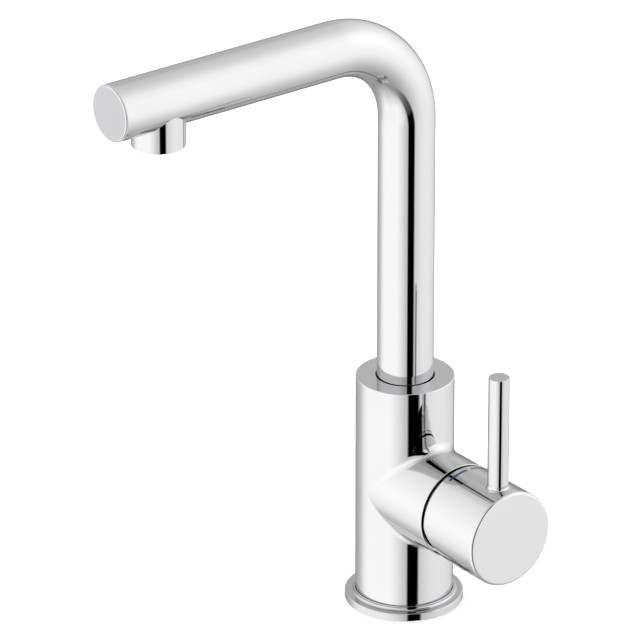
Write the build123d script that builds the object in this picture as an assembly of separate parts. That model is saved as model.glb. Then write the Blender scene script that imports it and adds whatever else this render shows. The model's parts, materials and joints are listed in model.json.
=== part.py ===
from build123d import *
import math
import os

# Basin mixer tap with a side lever and a swivel spout.
# Millimetres. Origin: centre of the base ring's underside, on the body axis.
# +Z up, the spout points to -Y, the handle axis points to +X.

# ---------------------------------------------------------------- dimensions
# body
BODY_R = 24.4            # body radius
HOUSING_R = 24.35        # side housing radius
BODY_TOP = 121.65        # height of the body's flat top
BODY_FOOT = 2.5          # the body stands this high, inside the base ring
RECESS_R = 20.4          # hollow foot of the body
RECESS_TOP = 26.0
BLEND_R = 4.5            # fillet between body and side housing
TOP_ROUND = 0.6          # rounded upper edge of the body

# base ring
RING_R = 29.47
RING_H = 4.0
COLLAR_R = 25.3
COLLAR_H = 6.0
COLLAR_BORE_R = 24.65

# handle axis
AXIS_Z = 64.0
HOUSING_END = 44.45      # end of the side housing
HOUSING_ROUND = 0.45
PIVOT_X = 40.0           # tilt axis of the lever, parallel to Y
CHAMBER_R = 17.75        # cartridge chamber
CHAMBER_FLOOR = 12.0
NUT_R = 20.0             # thread of the clamping nut
NUT_FLOOR = 33.5
MOUTH_R = 23.3
MOUTH_FLOOR = 38.5
MOUTH_EDGE_R = 23.85     # the mouth opens to this radius over the chamfer
MOUTH_CHAMFER = 1.05

# water ways
WAY_X = 4.5              # the three vertical water ways lie in this plane
WAY_R = 3.0
INLET_Y = 7.0
INLET_DZ = 4.5           # inlet ports above the handle axis
OUTLET_DZ = -5.2         # outlet port below the handle axis
HOSE_Y = 8.0
HOSE_R = 4.5             # M10 x 1 hose sockets
HOSE_DEPTH = 10.0
STUD_X = -12.0
STUD_R = 3.324           # M8 fixing stud
STUD_DEPTH = 16.0

# spout
SOCKET_R = 14.65
SOCKET_FLOOR = 90.0
TUBE_R = 14.0
TUBE_BORE_R = 12.5
TUBE_FOOT = 104.0        # lower end of the tube inside the socket
RUN_Z = 304.7            # axis height of the horizontal run
BEND_R = 46.0            # centreline radius of the bend
TUBE_END = 175.05        # front end of the tube from the body axis
SPOUT_END = 175.75       # front face of the end disc
END_R = 13.6             # end disc
END_ROUND = 0.65
OUTLET_Y = 147.66        # outlet axis from the body axis
OUTLET_R = 13.07
OUTLET_Z = 282.3         # lower rim of the outlet

# handle
CAP_START = 46.8
CAP_ROUND = 1.6          # rounded edge of the cap's face
CAP_END = 84.0
CAP_R = 24.4
DOME_R = 22.6            # sphere of the cartridge cover, about the tilt axis
DOME_IN_R = 21.5
SKIRT_END = 41.4         # end of the cover's straight skirt
COVER_END = 54.5
CAP_SPHERE_R = 24.0      # hollow of the cap round that sphere
CAP_BORE_R = 21.9
CAP_FLOOR = 79.3
BOSS_R = 9.0
PIN_X = 73.7
PIN_R = 5.185
PIN_TOP = 147.26
GRUB_X = 71.0

# cartridge (35 mm class)
CART_R = 17.4
DISC_TRAVEL = 3.9        # stroke of the moving disc
BALL_X = 28.9            # centre of the lever's ball end, 11.1 mm behind the pivot
BALL_R = 2.6

# ---------------------------------------------------------------- helpers
HANDLE_AXIS = Plane(origin=(0, 0, AXIS_Z), x_dir=(0, 1, 0), z_dir=(1, 0, 0))


def zcyl(r, z0, z1, x=0.0, y=0.0):
    """Cylinder along Z from z0 to z1."""
    return Pos(x, y, (z0 + z1) / 2) * Cylinder(r, z1 - z0)


def xcyl(r, x0, x1, y=0.0, z=AXIS_Z):
    """Cylinder along X from x0 to x1."""
    return Pos((x0 + x1) / 2, y, z) * Rot(0, 90, 0) * Cylinder(r, x1 - x0)


def ycyl(r, y0, y1, x=0.0, z=0.0):
    """Cylinder along Y from y0 to y1."""
    return Pos(x, (y0 + y1) / 2, z) * Rot(90, 0, 0) * Cylinder(r, y1 - y0)


def block(x0, x1, y0, y1, z0, z1):
    return Pos((x0 + x1) / 2, (y0 + y1) / 2, (z0 + z1) / 2) * Box(x1 - x0, y1 - y0, z1 - z0)


def turned_z(points):
    """Solid turned about Z from (radius, z) points."""
    face = make_face(Polyline(*[(r, 0, z) for r, z in points], close=True))
    return revolve(face, Axis.Z, 360)


def turned_x(points):
    """Solid turned about the handle axis from (x, radius) points."""
    face = make_face(Polyline(*[(x, 0, AXIS_Z + r) for x, r in points], close=True))
    return revolve(face, Axis((0, 0, AXIS_Z), (1, 0, 0)), 360)


def turned_x_curved(points):
    """As turned_x, where ("arc", r) joins its neighbours by an arc of radius r about the pivot."""
    edges = []
    count = len(points)
    at = lambda p: (p[0], 0, AXIS_Z + p[1])
    for i, p in enumerate(points):
        q = points[(i + 1) % count]
        if p[0] == "arc":
            continue
        if q[0] == "arc":
            end = points[(i + 2) % count]
            a0 = math.atan2(p[1], p[0] - PIVOT_X)
            a1 = math.atan2(end[1], end[0] - PIVOT_X)
            mid = (PIVOT_X + q[1] * math.cos((a0 + a1) / 2), q[1] * math.sin((a0 + a1) / 2))
            edges.append(ThreePointArc(at(p), at(mid), at(end)))
        else:
            edges.append(Line(at(p), at(q)))
    return revolve(make_face(Wire(edges)), Axis((0, 0, AXIS_Z), (1, 0, 0)), 360)


def ball(r, x, z=AXIS_Z):
    return Pos(x, 0, z) * Sphere(r)


def one(shape):
    """The single solid of a shape."""
    solids = shape.solids()
    assert len(solids) == 1, len(solids)
    return solids[0]


parts = {}

# ---------------------------------------------------------------- body casting
column = zcyl(BODY_R, BODY_FOOT, BODY_TOP)
column = fillet(column.edges().group_by(Axis.Z)[-1], TOP_ROUND)
housing = xcyl(HOUSING_R, 0, HOUSING_END)
housing = fillet(housing.edges().group_by(Axis.X)[-1], HOUSING_ROUND)
body = column + housing
body = fillet([e for e in body.edges() if e.geom_type == GeomType.BSPLINE], BLEND_R)
body -= zcyl(RECESS_R, BODY_FOOT - 1, RECESS_TOP)
body -= zcyl(SOCKET_R, SOCKET_FLOOR, BODY_TOP + 1)
body -= xcyl(CHAMBER_R, CHAMBER_FLOOR, HOUSING_END + 1)
body -= xcyl(NUT_R, NUT_FLOOR, HOUSING_END + 1)
body -= xcyl(MOUTH_R, MOUTH_FLOOR, HOUSING_END + 1)
body -= turned_x([(HOUSING_END - MOUTH_CHAMFER, 0), (HOUSING_END - MOUTH_CHAMFER, MOUTH_R), (HOUSING_END, MOUTH_EDGE_R),
                  (HOUSING_END + 1, MOUTH_EDGE_R), (HOUSING_END + 1, 0)])
for side in (-1, 1):
    # hose socket, rising way and inlet port
    body -= zcyl(HOSE_R, RECESS_TOP - 1, RECESS_TOP + HOSE_DEPTH, WAY_X, side * HOSE_Y)
    body -= zcyl(WAY_R, RECESS_TOP, AXIS_Z + INLET_DZ, WAY_X, side * HOSE_Y)
    body -= Pos(WAY_X, side * HOSE_Y, AXIS_Z + INLET_DZ) * Sphere(WAY_R)
    body -= xcyl(2.8, WAY_X, CHAMBER_FLOOR + 1, side * (HOSE_Y - 0.5), AXIS_Z + INLET_DZ)
    # locating holes for the cartridge's pegs
    body -= xcyl(1.6, CHAMBER_FLOOR - 3, CHAMBER_FLOOR + 1, side * 12.0, AXIS_Z - 7.0)
body -= zcyl(WAY_R, AXIS_Z + OUTLET_DZ, SOCKET_FLOOR + 1, WAY_X)
body -= Pos(WAY_X, 0, AXIS_Z + OUTLET_DZ) * Sphere(WAY_R)
body -= xcyl(2.8, WAY_X, CHAMBER_FLOOR + 1, 0, AXIS_Z + OUTLET_DZ)
body -= zcyl(STUD_R, RECESS_TOP - 1, RECESS_TOP + STUD_DEPTH, STUD_X)
# rear screw hole for the spout stop
STOP_Z = 97.5
body -= ycyl(2.1, SOCKET_R - 1, BODY_R + 1, 0, STOP_Z)
body -= ycyl(2.6, 20.4, BODY_R + 1, 0, STOP_Z)
parts["body_casting"] = one(body)

# ---------------------------------------------------------------- base ring
ring = turned_z([
    (RECESS_R, 0), (RING_R, 0), (RING_R, RING_H), (COLLAR_R, RING_H),
    (COLLAR_R, COLLAR_H), (COLLAR_BORE_R, COLLAR_H), (COLLAR_BORE_R, BODY_FOOT), (RECESS_R, BODY_FOOT),
])
inner_corner = [e for e in ring.edges().filter_by(GeomType.CIRCLE)
                if abs(e.radius - COLLAR_R) < 1e-6 and abs(e.center().Z - RING_H) < 1e-6]
ring = fillet(inner_corner, 1.3)
outer_edge = [e for e in ring.edges().filter_by(GeomType.CIRCLE)
              if abs(e.radius - RING_R) < 1e-6 and abs(e.center().Z - RING_H) < 1e-6]
ring = fillet(outer_edge, 0.6)
collar_edge = [e for e in ring.edges().filter_by(GeomType.CIRCLE)
               if abs(e.radius - COLLAR_R) < 1e-6 and abs(e.center().Z - COLLAR_H) < 1e-6]
ring = fillet(collar_edge, 0.25)
ring -= turned_z([(25.2, -1), (27.8, -1), (27.8, 1.5), (25.2, 1.5)])
parts["base_ring"] = one(ring)
parts["base_seal"] = one(turned_z([(25.2, 0), (27.8, 0), (27.8, 1.5), (25.2, 1.5)]))

# ---------------------------------------------------------------- cartridge, fixed pieces
PORTS = [(-INLET_Y - 0.5, INLET_DZ), (INLET_Y + 0.5, INLET_DZ), (0.0, OUTLET_DZ)]
BASE_END = 19.0
base = turned_x([(CHAMBER_FLOOR, 0), (CHAMBER_FLOOR, CART_R - 0.6), (CHAMBER_FLOOR + 0.6, CART_R), (BASE_END, CART_R), (BASE_END, 0)])
for side in (-1, 1):
    base += xcyl(1.5, CHAMBER_FLOOR - 2.5, CHAMBER_FLOOR + 1, side * 12.0, AXIS_Z - 7.0)
port_seals, disc_seals = [], []
for y, dz in PORTS:
    z = AXIS_Z + dz
    base -= xcyl(2.8, CHAMBER_FLOOR - 1, BASE_END + 1, y, z)
    base -= xcyl(4.4, CHAMBER_FLOOR - 1, CHAMBER_FLOOR + 1.6, y, z)
    base -= xcyl(4.2, BASE_END - 1.2, BASE_END + 1, y, z)
    port_seals.append(one(xcyl(4.4, CHAMBER_FLOOR, CHAMBER_FLOOR + 1.6, y, z) - xcyl(2.9, CHAMBER_FLOOR - 1, BASE_END, y, z)))
    disc_seals.append(one(xcyl(4.2, BASE_END - 1.2, BASE_END, y, z) - xcyl(2.9, CHAMBER_FLOOR, BASE_END + 1, y, z)))
parts["cartridge_base"] = one(base)
parts["port_seals"] = Compound(port_seals)
parts["disc_seals"] = Compound(disc_seals)

FIXED_END = 22.6
fixed_disc = xcyl(14.8, BASE_END, FIXED_END)
for y, dz in PORTS:
    fixed_disc -= xcyl(2.7, BASE_END - 1, FIXED_END + 1, y, AXIS_Z + dz)
for side in (-1, 1):
    fixed_disc -= block(BASE_END - 1, FIXED_END + 1, -2.0, 2.0, AXIS_Z + side * 15.0 - 1.4, AXIS_Z + side * 15.0 + 1.4)
parts["fixed_disc"] = one(fixed_disc)

HOUSING_STEP = 34.0
CARRIER_START = 30.6
CARRIER_STEP = 36.0
LIP_END = 41.0
case = turned_x([
    (BASE_END, 15.2), (BASE_END, CART_R), (HOUSING_STEP, CART_R), (HOUSING_STEP, 15.7), (LIP_END, 15.7),
    (LIP_END, 12.3), (CARRIER_STEP + 0.08, 12.3), (CARRIER_STEP + 0.08, 14.1), (30.4, 14.1), (30.4, 15.2),
])
# keys for the fixed disc
for side in (-1, 1):
    z = AXIS_Z + side * 15.0
    case += block(BASE_END, FIXED_END, -1.9, 1.9, z - (1.2 if side > 0 else 1.0), z + (1.0 if side > 0 else 1.2))
# arc recess for the stop lug in the front rim
STOP_HALF = 54.0
sector = turned_x([(39.0, 12.0), (39.0, 14.5), (42.0, 14.5), (42.0, 12.0)])
wedge_pts = [(0, 0)] + [(30 * math.sin(math.radians(a)), 30 * math.cos(math.radians(a)))
                        for a in (-STOP_HALF, -27, 0, 27, STOP_HALF)]
wedge = extrude(HANDLE_AXIS * make_face(Polyline(*wedge_pts, close=True)), 60)
case -= sector & wedge
parts["cartridge_housing"] = one(case)

# clamping nut: thread inside the housing, hexagon in front
nut = xcyl(NUT_R - 0.1, HOUSING_STEP, 38.5)
hexagon = extrude(HANDLE_AXIS.offset(38.5) * RegularPolygon(18.0, 6, major_radius=False), 4.5)
nut = nut + hexagon
nut -= xcyl(15.9, HOUSING_STEP - 1, 44)
parts["cartridge_nut"] = one(nut)



def on_sphere(r, x):
    """Distance from the handle axis of a sphere of radius r about the pivot, at x."""
    return math.sqrt(r ** 2 - (x - PIVOT_X) ** 2)


# dome cover: skirt in the housing's mouth, a small step, then a sphere about the tilt axis
cover = turned_x_curved([
    (MOUTH_FLOOR, DOME_IN_R), (MOUTH_FLOOR, 23.2), (SKIRT_END, 23.2), (SKIRT_END, on_sphere(DOME_R, SKIRT_END)), ("arc", DOME_R),
    (COVER_END, on_sphere(DOME_R, COVER_END)), (COVER_END, on_sphere(DOME_IN_R, COVER_END)), ("arc", DOME_IN_R), (PIVOT_X, DOME_IN_R),
])
parts["cartridge_cover"] = one(cover)

# ---------------------------------------------------------------- cartridge, turning pieces
carrier = turned_x([(CARRIER_START, 0), (CARRIER_START, 14.02), (CARRIER_STEP, 14.02), (CARRIER_STEP, 12.22), (44.0, 12.22), (44.0, 0)])
carrier -= block(CARRIER_START - 1, 45, -4.15, 4.15, AXIS_Z - 6.2, AXIS_Z + 6.2)
carrier -= ycyl(1.52, -20, 20, PIVOT_X, AXIS_Z)
for side in (-1, 1):
    # flats that key the stop ring
    carrier -= block(LIP_END + 0.05, 45, -6, 6, AXIS_Z + side * 12.1 - 0.9, AXIS_Z + side * 12.1 + 0.9)
parts["spindle_carrier"] = one(carrier)
parts["pivot_pin"] = one(ycyl(1.5, -11.8, 11.8, PIVOT_X, AXIS_Z))

stop_ring = turned_x([(LIP_END + 0.1, 12.25), (LIP_END + 0.1, 15.4), (43.0, 15.4), (43.0, 12.25)])
for side in (-1, 1):
    z = AXIS_Z + side * 12.1
    stop_ring += block(LIP_END + 0.1, 43.0, -5.8, 5.8, z - 0.75, z + 0.75) & xcyl(12.6, LIP_END, 44)
lug = turned_x([(39.2, 12.6), (39.2, 14.2), (41.5, 14.2), (41.5, 12.6)])
lug_pts = [(0, 0)] + [(30 * math.sin(math.radians(a)), 30 * math.cos(math.radians(a))) for a in (-8, 0, 8)]
stop_ring += lug & extrude(HANDLE_AXIS * make_face(Polyline(*lug_pts, close=True)), 60)
parts["temperature_stop_ring"] = one(stop_ring)

# ---------------------------------------------------------------- cartridge, sliding pieces
DISC_Z = AXIS_Z - DISC_TRAVEL / 2
DISC_R = 12.3
MOVING_START = FIXED_END + 0.02
MOVING_END = 26.1
moving = xcyl(DISC_R, MOVING_START, MOVING_END, 0, DISC_Z)
pocket = block(MOVING_START - 1, MOVING_START + 2.0, -9.0, 9.0, DISC_Z - 1.5, DISC_Z + 2.6)
pocket += xcyl(3.0, MOVING_START - 1, MOVING_START + 2.0, 0, DISC_Z - 6.6)
pocket += block(MOVING_START - 1, MOVING_START + 2.0, -3.0, 3.0, DISC_Z - 6.6, DISC_Z)
moving -= pocket
for side in (-1, 1):
    moving -= block(MOVING_START - 1, MOVING_END + 1, side * 12.3 - 1.6, side * 12.3 + 1.6, DISC_Z - 2, DISC_Z + 2)
parts["moving_disc"] = one(moving)
driver = xcyl(12.0, MOVING_END, 30.2, 0, DISC_Z)
for side in (-1, 1):
    driver += block(MOVING_START + 1.0, MOVING_END + 1, side * 11.5 - 0.6, side * 11.5 + 0.6, DISC_Z - 1.9, DISC_Z + 1.9) & xcyl(12.0, 20, 31, 0, DISC_Z)
driver -= block(MOVING_END, 31, -2.85, 2.85, AXIS_Z - BALL_R - 0.18, AXIS_Z + BALL_R + 0.18)
parts["disc_driver"] = one(driver)

# ---------------------------------------------------------------- handle group
spindle = ball(BALL_R, BALL_X) + xcyl(2.1, BALL_X, 37)
bar = block(36.0, 73.5, -4.0, 4.0, AXIS_Z - 4.0, AXIS_Z + 4.0)
bar = chamfer(bar.edges().filter_by(Axis.X), 0.5)
spindle = spindle + bar
spindle -= ycyl(1.55, -10, 10, PIVOT_X, AXIS_Z)
parts["lever_spindle"] = one(spindle)

cap = xcyl(CAP_R, CAP_START, CAP_END)
cap = fillet(cap.edges().group_by(Axis.X)[-1], CAP_ROUND)
bore_start = PIVOT_X + math.sqrt(CAP_SPHERE_R ** 2 - CAP_BORE_R ** 2)
hollow = turned_x_curved([
    (CAP_START - 1, 0), (CAP_START - 1, math.sqrt(CAP_SPHERE_R ** 2 - (CAP_START - 1 - PIVOT_X) ** 2)),
    ("arc", CAP_SPHERE_R), (bore_start, CAP_BORE_R), (CAP_FLOOR, CAP_BORE_R), (CAP_FLOOR, BOSS_R), (57.0, BOSS_R), (57.0, 0),
])
hollow -= block(66.5, CAP_END, -6.5, 6.5, AXIS_Z + 5.0, AXIS_Z + 23.0)
cap -= hollow
cap -= block(50.0, 74.0, -4.05, 4.05, AXIS_Z - 4.05, AXIS_Z + 4.05)
# pin thread and set screw hole
cap -= zcyl(3.0, AXIS_Z + 12.0, AXIS_Z + 30.0, PIN_X)
cap -= zcyl(2.5, AXIS_Z - 10.0, AXIS_Z - 3.0, GRUB_X)
cap -= zcyl(3.0, AXIS_Z - 30.0, AXIS_Z - 15.0, GRUB_X)
# relief under the mouth that lets the handle tilt: depth d below the axis, start x
relief_pts = []
for i in range(0, 14):
    d = 1.0 + 25.0 * i / 13
    relief_pts.append((CAP_START + 0.248 * (d - 1) + 0.0248 * (d - 1) ** 2, AXIS_Z - d))
curve = Spline(*[(x, 0, z) for x, z in relief_pts])
x_end, z_end = relief_pts[-1]
back = Polyline((x_end, 0, z_end), (CAP_START - 3, 0, z_end), (CAP_START - 3, 0, AXIS_Z - 1.0), (CAP_START, 0, AXIS_Z - 1.0))
relief = extrude(make_face([curve, back]), 40, both=True, dir=(0, 1, 0))
cap -= relief
# shallow seats of the two index marks, on the crown of the cap
MARK_X0, MARK_X1 = 49.1, 50.8
MARK_DEPTH = 0.4


def arc_band(a0, a1, r0, r1, x0, x1):
    """Band of a cylinder shell about the handle axis; angles from the top towards -Y."""
    shell = turned_x([(x0, r0), (x0, r1), (x1, r1), (x1, r0)])
    steps = [a0 + (a1 - a0) * i / 4 for i in range(5)]
    pts = [(0, 0)] + [(-40 * math.sin(math.radians(a)), 40 * math.cos(math.radians(a))) for a in steps]
    return shell & extrude(HANDLE_AXIS * make_face(Polyline(*pts, close=True)), 100)


cold = arc_band(0.8, 27.5, CAP_R - MARK_DEPTH, CAP_R, MARK_X0, MARK_X1)
hot = arc_band(-26.0, -4.5, CAP_R - MARK_DEPTH, CAP_R, MARK_X0, MARK_X1)
cap -= arc_band(0.8, 27.5, CAP_R - MARK_DEPTH, CAP_R + 1, MARK_X0, MARK_X1)
cap -= arc_band(-26.0, -4.5, CAP_R - MARK_DEPTH, CAP_R + 1, MARK_X0, MARK_X1)
parts["handle_cap"] = one(cap)
parts["cold_mark"] = one(cold)
parts["hot_mark"] = one(hot)

pin = turned_z([(0, 80), (6.0, 80), (6.0, 88.5), (5.55, 88.75), (5.27, 89.2), (PIN_R, 89.8), (PIN_R, PIN_TOP - 0.35), (PIN_R - 0.35, PIN_TOP), (0, PIN_TOP)])
pin = Pos(PIN_X, 0, 0) * pin
pin -= xcyl(CAP_R, 60, 90)
pin += zcyl(2.95, AXIS_Z + 12.5, 90, PIN_X)
parts["lever_pin"] = one(pin)

grub = zcyl(2.45, AXIS_Z - 9.5, AXIS_Z - 4.0, GRUB_X)
grub -= extrude(Plane(origin=(GRUB_X, 0, AXIS_Z - 9.6)) * RegularPolygon(1.25, 6, major_radius=False), 2.6)
parts["handle_grub_screw"] = one(grub)

# ---------------------------------------------------------------- spout group
path = Line((0, 0, TUBE_FOOT), (0, 0, RUN_Z - BEND_R))
path += RadiusArc((0, 0, RUN_Z - BEND_R), (0, -BEND_R, RUN_Z), BEND_R)


def spout_bar(r, foot, end):
    """Solid bar along the spout: upright, bend and horizontal run."""
    upright = zcyl(r, foot, RUN_Z - BEND_R)
    elbow_face = Plane(origin=(0, 0, RUN_Z - BEND_R)) * Circle(r)
    elbow = revolve(elbow_face, Axis((0, -BEND_R, RUN_Z - BEND_R), (1, 0, 0)), 90)
    run = ycyl(r, end, -BEND_R, 0, RUN_Z)
    return upright + elbow + run


outer = spout_bar(TUBE_R, TUBE_FOOT, -TUBE_END)
inner = spout_bar(TUBE_BORE_R, TUBE_FOOT - 1, -TUBE_END - 1)
tube = outer - inner
tube -= zcyl(9.0, RUN_Z - TUBE_R - 5, RUN_Z, 0, -OUTLET_Y)
parts["spout_tube"] = one(tube)

FOOT_R = 14.56
foot = turned_z([
    (9.0, 91.0), (FOOT_R - 0.6, 91.0), (FOOT_R, 91.6), (FOOT_R, 92.2), (12.05, 92.2), (12.05, 94.8), (FOOT_R, 94.8),
    (FOOT_R, 100.2), (12.05, 100.2), (12.05, 102.8), (FOOT_R, 102.8), (FOOT_R, TUBE_FOOT), (TUBE_BORE_R, TUBE_FOOT),
    (TUBE_BORE_R, TUBE_FOOT + 9), (TUBE_BORE_R - 0.8, TUBE_FOOT + 10), (9.0, TUBE_FOOT + 10),
])
# arc slot at the rear for the stop screw: 60 degrees each way plus the screw's tip
slot = turned_z([(12.6, STOP_Z - 1.6), (16.0, STOP_Z - 1.6), (16.0, STOP_Z + 1.6), (12.6, STOP_Z + 1.6)])
SLOT_HALF = 60.0 + math.degrees(1.4 / 13.6) + 1.0
slot_pts = [(0, 0)] + [(40 * math.sin(math.radians(a)), 40 * math.cos(math.radians(a)))
                       for a in (-SLOT_HALF, -SLOT_HALF / 2, 0, SLOT_HALF / 2, SLOT_HALF)]
foot -= slot & extrude(Plane(origin=(0, 0, 80)) * make_face(Polyline(*slot_pts, close=True)), 40)
parts["spout_foot"] = one(foot)
parts["spout_o_rings"] = Compound([one(Pos(0, 0, z) * Torus(13.35, 1.24)) for z in (93.5, 101.5)])
parts["spout_glide_ring"] = one(turned_z([(14.06, 107.0), (SOCKET_R, 107.0), (SOCKET_R, 117.0), (14.3, 117.0), (14.06, 116.7)]))

screw = ycyl(2.05, 15.3, 23.6, 0, STOP_Z) + ycyl(2.5, 20.45, 23.6, 0, STOP_Z) + ycyl(1.4, 12.9, 16, 0, STOP_Z)
screw -= extrude(Plane(origin=(0, 23.7, STOP_Z), x_dir=(1, 0, 0), z_dir=(0, -1, 0)) * RegularPolygon(1.25, 6, major_radius=False), 2.6)
parts["spout_stop_screw"] = one(screw)

end_cap = ycyl(END_R, -SPOUT_END, -TUBE_END, 0, RUN_Z)
end_cap = fillet(end_cap.edges().group_by(Axis.Y)[0], END_ROUND)
end_cap += ycyl(TUBE_BORE_R - 0.05, -TUBE_END, 5 - TUBE_END, 0, RUN_Z)
parts["spout_end_cap"] = one(end_cap)

AERATOR_R = 10.5
SHOULDER_Z = 289.6
outlet = zcyl(OUTLET_R, OUTLET_Z, RUN_Z - 1, 0, -OUTLET_Y)
outlet = chamfer(outlet.edges().group_by(Axis.Z)[0], 0.25)
outlet -= zcyl(AERATOR_R, OUTLET_Z - 1, SHOULDER_Z, 0, -OUTLET_Y)
outlet -= zcyl(9.0, OUTLET_Z - 1, RUN_Z + 5, 0, -OUTLET_Y)
outlet -= ycyl(TUBE_R, -SPOUT_END - 5, -100, 0, RUN_Z)
parts["outlet_socket"] = one(outlet.solids().sort_by(SortBy.VOLUME)[-1])


def at_outlet(shape):
    return Pos(0, -OUTLET_Y, 0) * shape


cup = turned_z([(8.0, 282.9), (10.0, 282.9), (10.42, 283.3), (10.42, 288.4), (8.7, 288.4), (8.7, 284.0), (8.0, 284.0)])
for i in range(12):
    cup -= Rot(0, 0, 30 * i) * block(8.9, 9.7, -0.7, 0.7, 282.5, 283.7)
parts["aerator_housing"] = one(at_outlet(cup))
screen = zcyl(8.65, 284.0, 285.2)
for ring_no, count in ((0, 1), (1, 6), (2, 12), (3, 18)):
    for i in range(count):
        a = 2 * math.pi * i / count
        screen -= zcyl(0.75, 283, 286, 2.3 * ring_no * math.cos(a), 2.3 * ring_no * math.sin(a))
parts["aerator_screen"] = one(at_outlet(screen))
core = turned_z([(0, 286.0), (6.0, 286.0), (8.6, 286.6), (8.6, 288.4), (6.8, 288.4), (5.6, 287.4), (0, 287.8)])
for i in range(10):
    core -= Rot(0, 0, 36 * i) * zcyl(0.6, 285, 289, 4.6, 0)
parts["aerator_core"] = one(at_outlet(core))
parts["aerator_seal"] = one(at_outlet(turned_z([(8.6, 288.4), (10.4, 288.4), (10.4, SHOULDER_Z), (8.6, SHOULDER_Z)])))

# ---------------------------------------------------------------- write
os.makedirs("parts", exist_ok=True)
for name, shape in parts.items():
    shape.label = name
    export_step(shape, "parts/" + name + ".step")
    print(name, round(shape.volume, 1), shape.is_valid)
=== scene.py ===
import json
import math
import bpy
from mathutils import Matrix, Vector
from mathutils.geometry import delaunay_2d_cdt


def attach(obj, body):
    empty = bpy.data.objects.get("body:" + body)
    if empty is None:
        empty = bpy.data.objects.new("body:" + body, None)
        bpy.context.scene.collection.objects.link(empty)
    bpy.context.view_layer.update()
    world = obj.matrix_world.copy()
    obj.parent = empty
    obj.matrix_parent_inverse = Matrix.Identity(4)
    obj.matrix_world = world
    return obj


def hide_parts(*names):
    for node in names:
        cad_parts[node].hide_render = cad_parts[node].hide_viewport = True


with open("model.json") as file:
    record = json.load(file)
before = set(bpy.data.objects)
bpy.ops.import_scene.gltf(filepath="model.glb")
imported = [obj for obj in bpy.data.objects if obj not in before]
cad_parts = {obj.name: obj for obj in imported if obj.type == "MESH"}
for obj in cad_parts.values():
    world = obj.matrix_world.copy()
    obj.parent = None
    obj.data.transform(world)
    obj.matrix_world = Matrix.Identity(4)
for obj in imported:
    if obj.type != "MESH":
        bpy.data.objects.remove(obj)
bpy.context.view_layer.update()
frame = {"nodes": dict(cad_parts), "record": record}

scene = bpy.context.scene
scene.view_settings.view_transform = "Standard"
scene.view_settings.look = "None"
scene.view_settings.exposure = 0.0
scene.view_settings.gamma = 1.0

# ------------------------------------------------------------------ camera
YAW, ELEVATION = math.radians(52.831), math.radians(24.539)
camera_data = bpy.data.cameras.new("camera")
camera_data.sensor_fit = "HORIZONTAL"
camera_data.sensor_width = 36.0
camera_data.lens = 36.0 * 6651.72 / 640.0
camera_data.clip_start = 0.1
camera_data.clip_end = 40.0
camera = bpy.data.objects.new("camera", camera_data)
camera.location = (2.33738, -1.82472, 1.50439)
camera.rotation_euler = (math.pi / 2 - ELEVATION, 0.0, YAW)
scene.collection.objects.link(camera)
scene.camera = camera

# ------------------------------------------------------------------ dimensions (millimetres, as in the frame)
MM = 0.001
BODY_R, HOUSING_R, BODY_TOP, BODY_FOOT = 24.4, 24.35, 121.65, 2.5
RECESS_R, RECESS_TOP = 20.4, 26.0
BLEND_R = 4.5
AXIS_Z, HOUSING_END = 64.0, 44.45
PIVOT_X = 40.0
SOCKET_R, SOCKET_FLOOR = 14.65, 90.0
TUBE_R, TUBE_BORE_R, TUBE_FOOT = 14.0, 12.5, 104.0
RUN_Z, BEND_R, TUBE_END = 304.7, 46.0, 175.05
SPOUT_END, END_R, END_ROUND, TUBE_LIP = 175.75, 13.6, 0.65, 0.2
OUTLET_Y, OUTLET_R, OUTLET_Z = 147.66, 13.07, 282.3
CAP_START, CAP_END, CAP_R, CAP_ROUND = 46.8, 84.0, 24.4, 1.6
DOME_R, DOME_IN_R, SKIRT_END, COVER_END = 22.6, 21.5, 41.4, 54.5
CAP_SPHERE_R, CAP_BORE_R, CAP_FLOOR, BOSS_R = 24.0, 21.9, 79.3, 9.0
PIN_X, PIN_R, PIN_TOP = 73.7, 5.185, 147.26
STOP_Z = 97.5
TOP_ROUND, HOUSING_ROUND = 0.6, 0.45
MOUTH_R, MOUTH_EDGE_R, MOUTH_CHAMFER = 23.3, 23.85, 1.05
TURNS = 288               # facets round a full turn


# ------------------------------------------------------------------ mesh building
def unit(v):
    n = math.sqrt(v[0] ** 2 + v[1] ** 2 + v[2] ** 2)
    return (v[0] / n, v[1] / n, v[2] / n) if n else (0.0, 0.0, 1.0)


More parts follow.
